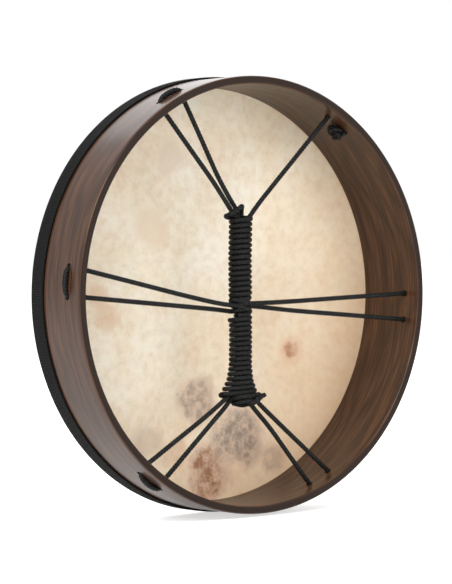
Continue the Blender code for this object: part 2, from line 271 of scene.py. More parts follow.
def makeVeneer():
    mat, tree, shader = newMaterial("walnutStainedAshVeneerLacquered")
    place = addNode(tree, "ShaderNodeTexCoord").outputs["Object"]
    long, short = 1 / veneer["fibreLength"], 1 / veneer["fibrePitch"]
    run = addNode(tree, "ShaderNodeMapping", inputs={"Vector": place, "Scale": (long, short, long)})
    fibre = addNode(tree, "ShaderNodeTexNoise", inputs={
        "Vector": run.outputs[0], "Scale": 1.0, "Detail": 5.0, "Roughness": 0.6, "Distortion": 0.2})
    streaks = addNode(tree, "ShaderNodeValToRGB", inputs={"Fac": fibre.outputs["Fac"]})
    setRamp(streaks, veneer["streaks"])
    # cathedral figure: bands across the depth, pushed about by a slow noise
    slow = addNode(tree, "ShaderNodeMapping", inputs={"Vector": place, "Scale": veneer["figureStretch"]})
    sway = addNode(tree, "ShaderNodeTexNoise", inputs={
        "Vector": slow.outputs[0], "Scale": 1.0, "Detail": 2.0})
    parts = addNode(tree, "ShaderNodeSeparateXYZ", inputs={0: place})
    across = addNode(tree, "ShaderNodeMath", {"operation": "MULTIPLY"},
                     {0: parts.outputs["Y"], 1: 2 * math.pi / veneer["figurePitch"]})
    push = addNode(tree, "ShaderNodeMath", {"operation": "MULTIPLY_ADD"},
                   {0: sway.outputs["Fac"], 1: veneer["figureSway"], 2: across.outputs[0]})
    wave = addNode(tree, "ShaderNodeMath", {"operation": "SINE"}, {0: push.outputs[0]})
    band = addNode(tree, "ShaderNodeMapRange", inputs={
        "Value": wave.outputs[0], "From Min": -1.0, "From Max": 1.0})
    figure = addNode(tree, "ShaderNodeValToRGB", inputs={"Fac": band.outputs[0]})
    setRamp(figure, veneer["figure"])
    wood = addNode(tree, "ShaderNodeMix", {"data_type": "RGBA", "blend_type": "MULTIPLY"},
                   {0: veneer["figureShare"], 6: streaks.outputs[0], 7: figure.outputs[0]})
    # the cut edge of the strip soaks up more stain
    edge = addNode(tree, "ShaderNodeMapRange", inputs={
        "Value": parts.outputs["Y"], "From Min": drum["rear"] + veneer["edgeStart"],
        "From Max": drum["rear"] + veneer["edgeFull"]})
    stained = addNode(tree, "ShaderNodeMix", {"data_type": "RGBA"},
                      {0: edge.outputs[0], 6: wood.outputs[2], 7: linear(veneer["edgeStain"])})
    rough = addNode(tree, "ShaderNodeMapRange", inputs={
        "Value": fibre.outputs["Fac"], "To Min": veneer["roughness"][0], "To Max": veneer["roughness"][1]})
    pores = addNode(tree, "ShaderNodeBump", inputs={
        "Strength": 0.35, "Distance": veneer["poreDepth"], "Height": fibre.outputs["Fac"]})
    tree.links.new(stained.outputs[2], shader.inputs["Base Color"])
    tree.links.new(rough.outputs[0], shader.inputs["Roughness"])
    tree.links.new(pores.outputs[0], shader.inputs["Normal"])
    shader.inputs["Specular IOR Level"].default_value = 0.15
    # the lacquer is thin on the cut edge, so it shines less there
    lacquer = addNode(tree, "ShaderNodeMapRange", inputs={
        "Value": edge.outputs[0], "To Min": veneer["coat"][0], "To Max": veneer["coat"][1]})
    tree.links.new(lacquer.outputs[0], shader.inputs["Coat Weight"])
    shader.inputs["Coat Roughness"].default_value = veneer["coatRoughness"]
    return mat


# Skin: scraped and dried hide. It lets light through, is mottled with cloudy
# tan and grey, and has a few darker marks where the hide was thicker.

hide = {
    "cloudSize": 55 * mm,
    "mottleSize": 7 * mm,
    "clouds": [(0.3, "#efe0cb"), (0.5, "#f5eada"), (0.7, "#f8f0e4")],
    "mottle": [(0.32, "#dccfbf"), (0.58, "#ffffff")],
    "tanTowards": (0.78, -0.62),
    "tan": "#ddb988",
    "tanShare": 0.6,
    "fray": 16 * mm,
    "ragged": 44 * mm,
    "raggedFrom": 20,
    "marks": [
        {"at": (34, -139), "size": 40, "colour": "#8f8070", "strength": 0.9},
        {"at": (-16, -102), "size": 29, "colour": "#9d8d7c", "strength": 0.85},
        {"at": (-5, -172), "size": 32, "colour": "#96683f", "strength": 0.95},
        {"at": (76, -161), "size": 19, "colour": "#a8967f", "strength": 0.65},
        {"at": (-78, -133), "size": 24, "colour": "#bcae9c", "strength": 0.55},
        {"at": (-44, -150), "size": 22, "colour": "#bb9a74", "strength": 0.5},
        {"at": (-118, -18), "size": 18, "colour": "#cda578", "strength": 0.5},
        {"at": (-128, 2), "size": 14, "colour": "#cda578", "strength": 0.45},
        {"at": (-62, 62), "size": 26, "colour": "#d9b896", "strength": 0.45},
        {"at": (-40, 128), "size": 24, "colour": "#c9b8a2", "strength": 0.4},
        {"at": (100, -57), "size": 19, "colour": "#d0a67c", "strength": 0.5},
        {"at": (100, -57), "size": 10, "colour": "#a97650", "strength": 0.75},
    ],
}


def makeHide():
    mat, tree, shader = newMaterial("scrapedDriedHide")
    place = addNode(tree, "ShaderNodeTexCoord").outputs["Object"]
    cloud = addNode(tree, "ShaderNodeTexNoise", inputs={
        "Vector": place, "Scale": 1 / hide["cloudSize"], "Detail": 4.0})
    clouds = addNode(tree, "ShaderNodeValToRGB", inputs={"Fac": cloud.outputs["Fac"]})
    setRamp(clouds, hide["clouds"])
    speckle = addNode(tree, "ShaderNodeTexNoise", inputs={
        "Vector": place, "Scale": 1 / hide["mottleSize"], "Detail": 6.0, "Roughness": 0.65})
    mottle = addNode(tree, "ShaderNodeValToRGB", inputs={"Fac": speckle.outputs["Fac"]})
    setRamp(mottle, hide["mottle"])
    colour = addNode(tree, "ShaderNodeMix", {"data_type": "RGBA", "blend_type": "MULTIPLY"},
                     {0: 0.4, 6: clouds.outputs[0], 7: mottle.outputs[0]}).outputs[2]
    # the hide turns yellower towards one side of the drum
    parts = addNode(tree, "ShaderNodeSeparateXYZ", inputs={0: place})
    sideways = addNode(tree, "ShaderNodeMath", {"operation": "MULTIPLY"},
                       {0: parts.outputs["X"], 1: hide["tanTowards"][0]})
    towards = addNode(tree, "ShaderNodeMath", {"operation": "MULTIPLY_ADD"},
                      {0: parts.outputs["Z"], 1: hide["tanTowards"][1], 2: sideways.outputs[0]})
    tanShare = addNode(tree, "ShaderNodeMapRange", inputs={
        "Value": towards.outputs[0], "From Min": -0.03, "From Max": 0.2,
        "To Min": 0.0, "To Max": hide["tanShare"]})
    colour = addNode(tree, "ShaderNodeMix", {"data_type": "RGBA"},
                     {0: tanShare.outputs[0], 6: colour, 7: linear(hide["tan"])}).outputs[2]
    # each mark fades out over a ragged edge: noise of mean one half pushes the
    # place about, so a mark's centre is moved by half of the push
    frayed = addNode(tree, "ShaderNodeVectorMath", {"operation": "MULTIPLY_ADD"},
                     {0: speckle.outputs["Color"], 1: [hide["fray"]] * 3, 2: place})
    ragged = addNode(tree, "ShaderNodeVectorMath", {"operation": "MULTIPLY_ADD"},
                     {0: cloud.outputs["Color"], 1: [hide["ragged"]] * 3, 2: frayed.outputs[0]})
    patchy = addNode(tree, "ShaderNodeMapRange", inputs={
        "Value": speckle.outputs["Fac"], "From Min": 0.38, "From Max": 0.6, "To Min": 0.35, "To Max": 1.0})
    for mark in hide["marks"]:
        if mark["size"] > hide["raggedFrom"]:
            shift, edge = (hide["fray"] + hide["ragged"]) / 2, ragged
        else:
            shift, edge = hide["fray"] / 2, frayed
        centre = (mark["at"][0] * mm + shift, headPlane + shift, mark["at"][1] * mm + shift)
        away = addNode(tree, "ShaderNodeVectorMath", {"operation": "DISTANCE"},
                       {0: edge.outputs[0], 1: centre})
        share = addNode(tree, "ShaderNodeMapRange", {"interpolation_type": "SMOOTHSTEP"}, {
            "Value": away.outputs["Value"], "From Min": mark["size"] * mm,
            "From Max": mark["size"] * 0.45 * mm, "To Min": 0.0, "To Max": mark["strength"]})
        worn = addNode(tree, "ShaderNodeMath", {"operation": "MULTIPLY"},
                       {0: share.outputs[0], 1: patchy.outputs[0]})
        colour = addNode(tree, "ShaderNodeMix", {"data_type": "RGBA"},
                         {0: worn.outputs[0], 6: colour, 7: linear(mark["colour"])}).outputs[2]
    grain = addNode(tree, "ShaderNodeBump", inputs={
        "Strength": 0.25, "Distance": 0.15 * mm, "Height": speckle.outputs["Fac"]})
    tree.links.new(colour, shader.inputs["Base Color"])
    tree.links.new(grain.outputs[0], shader.inputs["Normal"])
    shader.inputs["Roughness"].default_value = 0.55
    shader.inputs["Subsurface Weight"].default_value = 0.35
    shader.inputs["Subsurface Radius"].default_value = (1.0, 0.6, 0.35)
    shader.inputs["Subsurface Scale"].default_value = 2 * mm
    return mat


# Ribbon: woven black grosgrain, matt, with a painted highlight on the crowns of its ribs
# and painted shade in the valleys. The valley and crown are heights of the weave above the hoop's wall.

grosgrain = {
    "valley": 1.62 * mm,
    "crown": 1.84 * mm,
    # tones of the painted rib shade and highlight, from valley to crown
    "ribs": [(0.0, "#000000"), (0.6, "#080808"), (1.0, "#212121")],
    "wearPerMetre": 60.0,
    "threadsPerMetre": 1600.0,
}


def makeGrosgrain():
    mat, tree, shader = newMaterial("wovenBlackGrosgrain")
    place = addNode(tree, "ShaderNodeTexCoord").outputs["Object"]
    wear = addNode(tree, "ShaderNodeTexNoise", inputs={
        "Vector": place, "Scale": grosgrain["wearPerMetre"], "Detail": 4.0})
    # painted shade: the valleys between the ribs, which no light reaches, are painted near black, and the
    # crowns are painted paler as a highlight
    parts = addNode(tree, "ShaderNodeSeparateXYZ", inputs={0: place})
    flat = addNode(tree, "ShaderNodeCombineXYZ", inputs={"X": parts.outputs["X"], "Y": parts.outputs["Z"]})
    reach = addNode(tree, "ShaderNodeVectorMath", {"operation": "LENGTH"}, {0: flat.outputs[0]})
    rise = addNode(tree, "ShaderNodeMapRange", inputs={
        "Value": reach.outputs["Value"], "From Min": drum["radius"] + grosgrain["valley"],
        "From Max": drum["radius"] + grosgrain["crown"]})
    ribs = addNode(tree, "ShaderNodeValToRGB", inputs={"Fac": rise.outputs[0]})
    setRamp(ribs, grosgrain["ribs"])
    faded = addNode(tree, "ShaderNodeMapRange", inputs={
        "Value": wear.outputs["Fac"], "To Min": 0.7, "To Max": 1.2})
    # black dye with its wear, times the painted shade and highlight of the ribs
    dyeAndRibShade = addNode(tree, "ShaderNodeMix", {"data_type": "RGBA", "blend_type": "MULTIPLY"},
                  {0: 1.0, 6: ribs.outputs[0], 7: faded.outputs[0]})
    threads = addNode(tree, "ShaderNodeTexNoise", inputs={
        "Vector": place, "Scale": grosgrain["threadsPerMetre"], "Detail": 2.0})
    weave = addNode(tree, "ShaderNodeBump", inputs={
        "Strength": 0.4, "Distance": 0.1 * mm, "Height": threads.outputs["Fac"]})
    tree.links.new(dyeAndRibShade.outputs[2], shader.inputs["Base Color"])
    tree.links.new(weave.outputs[0], shader.inputs["Normal"])
    shader.inputs["Roughness"].default_value = 0.75
    shader.inputs["Specular IOR Level"].default_value = 0.15
    return mat


# Cord: braided black polyester. Its colour is painted from the braid's height: a painted
# highlight on the crowns, painted shade in the valleys, and tiny paler flecks as painted glints.

polyester = {
    # black of the cord, with painted shade in the braid's valleys and a painted highlight on its crowns
    "blackWithBraidShade": [(0.3, "#000000"), (0.6, "#030303"), (0.85, "#171815"), (1.0, "#363733")],
    # colour of the painted glints
    "paintedGlint": "#4c4c4e",
    "yarnsPerMetre": 1500.0,
}


def makeBraidedPolyester():
    mat, tree, shader = newMaterial("braidedBlackPolyester")
    height = addNode(tree, "ShaderNodeAttribute", {"attribute_name": "braidHeight"})
    # painted shade and highlight: darker where the braid is low, paler where it is high
    blackAndBraidShade = addNode(tree, "ShaderNodeValToRGB", inputs={"Fac": height.outputs["Fac"]})
    setRamp(blackAndBraidShade, polyester["blackWithBraidShade"])
    place = addNode(tree, "ShaderNodeTexCoord").outputs["Object"]
    yarn = addNode(tree, "ShaderNodeTexNoise", inputs={
        "Vector": place, "Scale": polyester["yarnsPerMetre"], "Detail": 2.0})
    # painted glints: tiny flecks of paler colour
    paintedGlint = addNode(tree, "ShaderNodeMapRange", inputs={
        "Value": yarn.outputs["Fac"], "From Min": 0.6, "From Max": 0.68})
    shiny = addNode(tree, "ShaderNodeMix", {"data_type": "RGBA"},
                    {0: paintedGlint.outputs[0], 6: blackAndBraidShade.outputs[0], 7: linear(polyester["paintedGlint"])})
    fuzz = addNode(tree, "ShaderNodeBump", inputs={
        "Strength": 0.5, "Distance": 0.1 * mm, "Height": yarn.outputs["Fac"]})
    tree.links.new(shiny.outputs[2], shader.inputs["Base Color"])
    tree.links.new(fuzz.outputs[0], shader.inputs["Normal"])
    shader.inputs["Roughness"].default_value = 0.6
    shader.inputs["Specular IOR Level"].default_value = 0.2
    return mat


veneerFinish = makeVeneer()
hideFinish = makeHide()
grosgrainFinish = makeGrosgrain()
cordFinish = makeBraidedPolyester()
print("materials made")


# Hoop: one bent strip with rounded edges and twelve drilled lacing holes

hoop = {
    "rearRounding": 2 * mm,
    "headRounding": 6 * mm,
    "bearingRounding": 1.5 * mm,
    "steps": 288,
    "wallRows": 18,
    "hole": 6.4 * mm,
    "holeHalfAngle": 3.75,
    "pairs": {"upperRight": 55, "upperLeft": 115, "left": 175,
              "lowerLeft": 235, "lowerRight": 295, "right": 355},
}


def holeAngles(pair):
    middle = hoop["pairs"][pair]
    return math.radians(middle - hoop["holeHalfAngle"]), math.radians(middle + hoop["holeHalfAngle"])


def wallRows(radius, start, end):
    rows = np.linspace(start, end, hoop["wallRows"] + 1)[1:-1]
    return [(radius, float(y)) for y in rows]


def makeHoop():
    outer, inner, rear, head = drum["radius"], innerRadius, drum["rear"], headPlane
    small, big, bearing = hoop["rearRounding"], hoop["headRounding"], hoop["bearingRounding"]
    profile = roundedCorner(outer - big, head - big, big, 90, 0, 6)
    profile += wallRows(outer, head - big, rear + small)
    profile += roundedCorner(outer - small, rear + small, small, 0, -90, 5)
    profile += roundedCorner(inner + small, rear + small, small, -90, -180, 5)
    profile += wallRows(inner, rear + small, head - bearing)
    profile += roundedCorner(inner + bearing, head - bearing, bearing, 180, 90, 4)
    mesh = turnedMesh("hoop", profile[:-1], hoop["steps"])
    outwardNormals(mesh)
    body = bpy.data.objects.new("hoopBlank", mesh)
    scene.collection.objects.link(body)
    drills = bpy.data.collections.new("drills")
    scene.collection.children.link(drills)
    for pair in hoop["pairs"]:
        for angle in holeAngles(pair):
            bpy.ops.mesh.primitive_cylinder_add(vertices=32, radius=hoop["hole"] / 2, depth=3 * drum["wall"],
                                                location=onRadius(midWall, angle))
            drill = bpy.context.object
            drill.rotation_euler = (0, math.pi / 2 - angle, 0)
            for owner in list(drill.users_collection):
                owner.objects.unlink(drill)
            drills.objects.link(drill)
    cut = body.modifiers.new("drilled", "BOOLEAN")
    cut.operand_type = "COLLECTION"
    cut.collection = drills
    cut.solver = "EXACT"
    mesh = plainMesh(body)
    for drill in list(drills.objects):
        bpy.data.objects.remove(drill, do_unlink=True)
    bpy.data.collections.remove(drills)
    piece = newPiece("bentHoop", mesh, veneerFinish, ["hoop"])
    piece.data.set_sharp_from_angle(angle=math.radians(40))
    return piece


makeHoop()
print("hoop bent and drilled")


# Head: one skin, flat and tight, folded over the hoop's rounded edge

head = {
    "lapEnd": 57 * mm + drum["rear"],
    "rings": 44,
    "steps": 288,
    "firstRing": 4 * mm,
    "waver": 0.35 * mm,
    "stillEdge": 6 * mm,
    "waverFade": 60 * mm,
}


def makeHead():
    edge = drum["radius"] - hoop["headRounding"]
    level = headPlane - hoop["headRounding"]
    inside = hoop["headRounding"] + drum["seatGap"]
    outside = inside + drum["skin"]
    radii = np.linspace(head["firstRing"], edge, head["rings"])
    outer = [(float(r), headPlane + drum["seatGap"] + drum["skin"]) for r in radii[:-1]]
    outer += roundedCorner(edge, level, outside, 90, 0, 8) + [(edge + outside, head["lapEnd"])]
    inner = [(edge + inside, head["lapEnd"])] + roundedCorner(edge, level, inside, 0, 90, 8)
    inner += [(float(r), headPlane + drum["seatGap"]) for r in reversed(radii[:-1])]
    profile = outer + inner
    mesh = turnedMesh("skin", profile, head["steps"])
    rows = len(profile)
    # close the small round opening that turning leaves at the middle, on both faces
    work = bpy.data.meshes.new("skinClosed")
    verts = [v.co.copy() for v in mesh.vertices]
    faces = [tuple(p.vertices) for p in mesh.polygons if not {0, rows - 1} <= {i % rows for i in p.vertices}]
    front, rear = len(verts), len(verts) + 1
    verts += [Vector((0, profile[0][1], 0)), Vector((0, profile[-1][1], 0))]
    for step in range(head["steps"]):
        here, there = step * rows, (step + 1) % head["steps"] * rows
        faces.append((front, there, here))
        faces.append((rear, here + rows - 1, there + rows - 1))
    # a dried skin is never quite flat: it wavers a little, less at the hoop
    for v in verts:
        reach = math.hypot(v.x, v.z)
        share = max(0.0, min(1.0, (edge - head["stillEdge"] - reach) / head["waverFade"]))
        wave = noise.noise(Vector((v.x * 22, 3.1, v.z * 22)))
        wave += 0.5 * noise.noise(Vector((v.x * 60, 9.7, v.z * 60)))
        v.y -= head["waver"] * share * (0.8 + 0.8 * wave)
    work.from_pydata(verts, [], faces)
    outwardNormals(work)
    return newPiece("skinHead", work, hideFinish, ["head", "head_lap"])


makeHead()
print("skin stretched")


# Edge ribbon: a thin band with a raised rib every 1.5 mm, made by geometry nodes

ribbon = {
    "start": 56 * mm + drum["rear"],
    "width": 18.5 * mm,
    "thickness": 0.5 * mm,
    "ribPitch": 1.5 * mm,
    "ribWidth": 1.0 * mm,
    "ribHeight": 0.28 * mm,
    "ribSunk": 0.04 * mm,
    "selvedge": 0.7 * mm,
    "lip": 0.25 * mm,
    "steps": 360,
}
bandRadius = drum["radius"] + 2 * drum["seatGap"] + drum["skin"]


def makeRibMesh():
    # a low round ridge along Y, with its ends sloped down to the selvedge
    half = ribbon["width"] / 2 - ribbon["selvedge"]
    verts, faces = [], []
    across = [(-0.5, 0.0), (-0.28, 0.75), (0.0, 1.0), (0.28, 0.75), (0.5, 0.0)]
    for y, share in ((-half, 0.35), (-half + 0.4 * mm, 1.0), (half - 0.4 * mm, 1.0), (half, 0.35)):
        verts += [(x * ribbon["ribWidth"], y, z * share * ribbon["ribHeight"]) for x, z in across]
    for row in range(3):
        for i in range(4):
            a = row * 5 + i
            faces.append((a, a + 1, a + 6, a + 5))
    faces.append((0, 5, 10, 15, 19, 14, 9, 4))
    faces.append((4, 3, 2, 1, 0))
    faces.append((15, 16, 17, 18, 19))
    mesh = bpy.data.meshes.new("rib")
    mesh.from_pydata(verts, [], faces)
    outwardNormals(mesh)
    return mesh


def makeRibTree():
    tree, ids, given = newTree("ribbedBand", "Band", {
        "Rib": "Object", "Ribs": "Int", "Radius": "Float", "Middle": "Float", "Finish": "Material"})
    circle = addNode(tree, "GeometryNodeCurvePrimitiveCircle", inputs={
        "Resolution": given.outputs["Ribs"], "Radius": given.outputs["Radius"]})
    line = addNode(tree, "GeometryNodeCurveToPoints", {"mode": "EVALUATED"}, {"Curve": circle.outputs[0]})
    ribShape = addNode(tree, "GeometryNodeObjectInfo", inputs={"Object": given.outputs["Rib"]})
    spread = addNode(tree, "GeometryNodeInputPosition")
    outward = addNode(tree, "FunctionNodeAlignRotationToVector", {"axis": "Z"}, {"Vector": spread.outputs[0]})
    along = addNode(tree, "FunctionNodeAlignRotationToVector", {"axis": "Y", "pivot_axis": "Z"},
                    {"Rotation": outward.outputs[0], "Vector": (0, 0, 1)})
    ribs = addNode(tree, "GeometryNodeInstanceOnPoints", inputs={
        "Points": line.outputs["Points"], "Instance": ribShape.outputs["Geometry"],
        "Rotation": along.outputs[0]})
    drop = addNode(tree, "ShaderNodeCombineXYZ", inputs={"Y": given.outputs["Middle"]})
    upright = addNode(tree, "GeometryNodeTransform", inputs={
        "Geometry": ribs.outputs[0], "Translation": drop.outputs[0], "Rotation": (math.pi / 2, 0, 0)})
    joined = addNode(tree, "GeometryNodeJoinGeometry")
    tree.links.new(given.outputs["Band"], joined.inputs[0])
    tree.links.new(upright.outputs[0], joined.inputs[0])
    endTree(tree, joined.outputs[0], given.outputs["Finish"])
    return tree, ids


def makeRibbon():
    start, end = ribbon["start"], ribbon["start"] + ribbon["width"]
    outer = bandRadius + ribbon["thickness"]
    lip, selvedge = ribbon["lip"], ribbon["selvedge"]
    # past the lap's edge the ribbon is pressed down to the hoop's wall
    pressed = drum["radius"] + 0.15 * mm
    profile = [(bandRadius, start + 1.2 * mm), (bandRadius, end - lip), (outer - lip, end),
               (outer, end - lip), (outer + 0.1 * mm, end - 0.5 * mm), (outer, end - selvedge),
               (outer, start + selvedge), (outer + 0.1 * mm, start + 0.5 * mm), (outer, start + lip),
               (outer - lip, start), (pressed, start), (pressed, start + selvedge)]
    mesh = turnedMesh("band", profile, ribbon["steps"])
    outwardNormals(mesh)
    band = bpy.data.objects.new("band", mesh)
    scene.collection.objects.link(band)
    rib = bpy.data.objects.new("rib", makeRibMesh())
    scene.collection.objects.link(rib)
    tree, ids = makeRibTree()
    weave = band.modifiers.new("ribs", "NODES")
    weave.node_group = tree
    weave[ids["Rib"]] = rib
    weave[ids["Ribs"]] = round(2 * math.pi * outer / ribbon["ribPitch"])
    weave[ids["Radius"]] = outer - ribbon["ribSunk"]
    weave[ids["Middle"]] = (start + end) / 2
    weave[ids["Finish"]] = grosgrainFinish
    mesh = plainMesh(band)
    bpy.data.objects.remove(rib, do_unlink=True)
    return newPiece("edgeRibbon", mesh, grosgrainFinish, ["edge_ribbon"])


makeRibbon()
print("ribbon glued round the edge")


# Cord: every stretch is swept by one geometry nodes tree, then braided. The
# real braid is finer and flatter: it is drawn as coarse as it needs to show.

cord = {
    "diameter": 4.9 * mm,
    "boundDiameter": 4.6 * mm,
    "upperDiameter": 4.9 * mm,
    "lowerDiameter": 4.6 * mm,
    "knotDiameter": 4.4 * mm,
    "sides": 28,
    "hiddenSides": 12,
    "ringSpacing": 0.6 * mm,
    "hiddenSpacing": 2.4 * mm,
    "strandsEachWay": 4,
    "braidTravel": 3.4 * mm,
    "relief": 0.8 * mm,
    "faceGap": 0.3 * mm,
}


def makeCordTree():
    tree, ids, given = newTree("sweptCord", "Path", {
        "Diameter": "Float", "Ring Spacing": "Float", "Sides": "Int", "Finish": "Material"})
    path = addNode(tree, "GeometryNodeMeshToCurve", inputs={0: given.outputs["Path"]})
    rings = addNode(tree, "GeometryNodeResampleCurve", {"mode": "LENGTH"},
                    {"Curve": path.outputs[0], "Length": given.outputs["Ring Spacing"]})
    run = addNode(tree, "GeometryNodeSplineParameter")
    alongCord = addNode(tree, "GeometryNodeStoreNamedAttribute", {"data_type": "FLOAT", "domain": "POINT"},
                        {"Geometry": rings.outputs[0], "Name": "alongCord", "Value": run.outputs["Length"]})
    half = addNode(tree, "ShaderNodeMath", {"operation": "MULTIPLY"}, {0: given.outputs["Diameter"], 1: 0.5})
    ring = addNode(tree, "GeometryNodeCurvePrimitiveCircle", inputs={
        "Resolution": given.outputs["Sides"], "Radius": half.outputs[0]})
    turn = addNode(tree, "GeometryNodeSplineParameter")
    aroundCord = addNode(tree, "GeometryNodeStoreNamedAttribute", {"data_type": "FLOAT", "domain": "POINT"},
                         {"Geometry": ring.outputs[0], "Name": "aroundCord", "Value": turn.outputs["Factor"]})
    width = addNode(tree, "GeometryNodeInputNamedAttribute", {"data_type": "FLOAT"}, {"Name": "cordWidth"})
    swept = addNode(tree, "GeometryNodeCurveToMesh", inputs={
        "Curve": alongCord.outputs[0], "Profile Curve": aroundCord.outputs[0], "Fill Caps": True,
        "Scale": width.outputs["Attribute"]})
    endTree(tree, swept.outputs[0], given.outputs["Finish"])
    return tree, ids


cordTree, cordInputs = makeCordTree()


def readFloats(mesh, name):
    values = np.zeros(len(mesh.vertices), dtype=np.float32)
    mesh.attributes[name].data.foreach_get("value", values)
    return values


def braid(mesh):
    # strands run both ways round the cord and pass over and under each other
    around = readFloats(mesh, "aroundCord") * cord["strandsEachWay"]
    travel = readFloats(mesh, "alongCord") / cord["braidTravel"]
    one, other = around + travel, around - travel
    over = (np.floor(one + 0.5) + np.floor(other + 0.5)) % 2 == 0
    ridgeOne, ridgeOther = np.abs(np.cos(np.pi * one)), np.abs(np.cos(np.pi * other))
    height = np.where(over, ridgeOne * (0.5 + 0.5 * ridgeOther), ridgeOther * (0.5 + 0.5 * ridgeOne))
    places = np.zeros(len(mesh.vertices) * 3, dtype=np.float32)
    mesh.vertices.foreach_get("co", places)
    normals = np.zeros(len(mesh.vertices) * 3, dtype=np.float32)
    mesh.vertex_normals.foreach_get("vector", normals)
    push = ((height - 1.0) * cord["relief"])[:, None]
    places = places.reshape(-1, 3) + normals.reshape(-1, 3) * push
    mesh.vertices.foreach_set("co", places.reshape(-1))
    # this height also paints the cord's shade and highlight in its finish
    mesh.attributes.new("braidHeight", "FLOAT", "POINT").data.foreach_set("value", height.astype(np.float32))
    mesh.update()


def smoothCurve(route, step=0.0006):
    # centripetal Catmull-Rom curve through chosen points
    pts = [np.array(p, dtype=float) for p in route]
    pts = [2 * pts[0] - pts[1]] + pts + [2 * pts[-1] - pts[-2]]
    curve = []
    for i in range(1, len(pts) - 2):
        p0, p1, p2, p3 = pts[i - 1:i + 3]
        t0 = 0.0
        t1 = t0 + math.sqrt(np.linalg.norm(p1 - p0))
        t2 = t1 + math.sqrt(np.linalg.norm(p2 - p1))
        t3 = t2 + math.sqrt(np.linalg.norm(p3 - p2))
        count = max(2, round(np.linalg.norm(p2 - p1) / step))
        for t in np.linspace(t1, t2, count, endpoint=False):
            a1 = (t1 - t) / (t1 - t0) * p0 + (t - t0) / (t1 - t0) * p1
            a2 = (t2 - t) / (t2 - t1) * p1 + (t - t1) / (t2 - t1) * p2
            a3 = (t3 - t) / (t3 - t2) * p2 + (t - t2) / (t3 - t2) * p3
            b1 = (t2 - t) / (t2 - t0) * a1 + (t - t0) / (t2 - t0) * a2
            b2 = (t3 - t) / (t3 - t1) * a2 + (t - t1) / (t3 - t1) * a3
            curve.append((t2 - t) / (t2 - t1) * b1 + (t - t1) / (t2 - t1) * b2)
    curve.append(pts[-2])
    return curve


def layCord(name, route, nodes, diameter=cord["diameter"], hidden=False, swell=0.0):
    points = smoothCurve(route)
    mesh = bpy.data.meshes.new(name)
    mesh.from_pydata([tuple(p) for p in points], [(i, i + 1) for i in range(len(points) - 1)], [])
    # the cord is fuller in the middle of a short slack stretch
    share = np.linspace(0, 1, len(points))
    width = 1 + swell * np.clip(np.sin(np.pi * share), 0, 1) ** 2
    mesh.attributes.new("cordWidth", "FLOAT", "POINT").data.foreach_set("value", width.astype(np.float32))
    line = bpy.data.objects.new(name + "Path", mesh)
    scene.collection.objects.link(line)
    sweep = line.modifiers.new("sweep", "NODES")
    sweep.node_group = cordTree
    sweep[cordInputs["Diameter"]] = diameter
    sweep[cordInputs["Ring Spacing"]] = cord["hiddenSpacing"] if hidden else cord["ringSpacing"]
    sweep[cordInputs["Sides"]] = cord["hiddenSides"] if hidden else cord["sides"]
    sweep[cordInputs["Finish"]] = cordFinish
    mesh = plainMesh(line)
    braid(mesh)
    return newPiece(name, mesh, cordFinish, nodes)


# Where the binding's centre line runs: height, middle and half width

grip = {
    "stations": [
        (0.0740, -0.0062, 0.0088), (0.0330, -0.0080, 0.0088), (-0.0100, -0.0085, 0.0088),
        (-0.0450, -0.0091, 0.0088), (-0.0660, -0.0099, 0.0090), (-0.0790, -0.0107, 0.0116),
        (-0.0880, -0.0118, 0.0170), (-0.0940, -0.0127, 0.0189),
    ],
    "halfDepth": 8.8 * mm,
    "stepsPerTurn": 32,
    "coreOffset": 2.6 * mm,
    "waist": -10.2 * mm,
    "coreTop": 63 * mm,
    "coreFoot": -71 * mm,
    "upper": {"start": 72.4 * mm, "end": -18.6 * mm, "turns": 18.6, "firstAngle": 75},
    "dip": {"top": -1.5 * mm, "foot": -17.0 * mm, "depth": 1.3 * mm, "fadeIn": 3 * mm, "fadeOut": 2 * mm},
    "lower": {"start": -19.4 * mm, "end": -91 * mm, "turns": 15.75, "firstAngle": 90},
}


def station(height):
    heights, middles, widths = (list(row) for row in zip(*reversed(grip["stations"])))
    return float(np.interp(height, heights, middles)), float(np.interp(height, heights, widths))


def corePlace(side, face, height):
    return (station(height)[0] + side * grip["coreOffset"], face * grip["coreOffset"], height)


def fromHole(angle, toward):
    lip = onRadius(innerRadius - 0.001, angle)
    aim = Vector(toward)
    return [onRadius(midWall - cord["faceGap"] / 2, angle), onRadius(innerRadius + 0.002, angle), lip,
            lip.lerp(aim, 0.12), lip.lerp(aim, 0.5), aim]


def coreEnd(side, face, split):
    outward = math.copysign(1, split)
    return [corePlace(side, face, split + outward * 0.003),
            corePlace(side, face, split + outward * cord["faceGap"] / 2)]


def windings(row, proud=None):
    count = round(row["turns"] * grip["stepsPerTurn"])
    points = []
    for i in range(count + 1):
        share = i / count
        height = row["start"] + (row["end"] - row["start"]) * share
        angle = math.radians(row["firstAngle"]) - 2 * math.pi * row["turns"] * share
        middle, halfWidth = station(height)
        extra = proud(share * row["turns"]) if proud else 0.0
        points.append((middle + (halfWidth + extra) * math.cos(angle),
                       (grip["halfDepth"] + extra) * math.sin(angle), height))
    return points


def hook(startAngle, endAngle, startHeight, endHeight):
    points = []
    for share in np.linspace(0, 1, 7):
        angle = math.radians(startAngle + (endAngle - startAngle) * share)
        height = startHeight + (endHeight - startHeight) * share
        middle, halfWidth = station(height)
        points.append((middle + halfWidth * math.cos(angle), grip["halfDepth"] * math.sin(angle), height))
    return points


def meeting(side, face, height):
    middle, halfWidth = station(height)
    across = middle + side * halfWidth
    return [(across, face * 0.0026, height), (across, face * cord["faceGap"] / 2, height)]


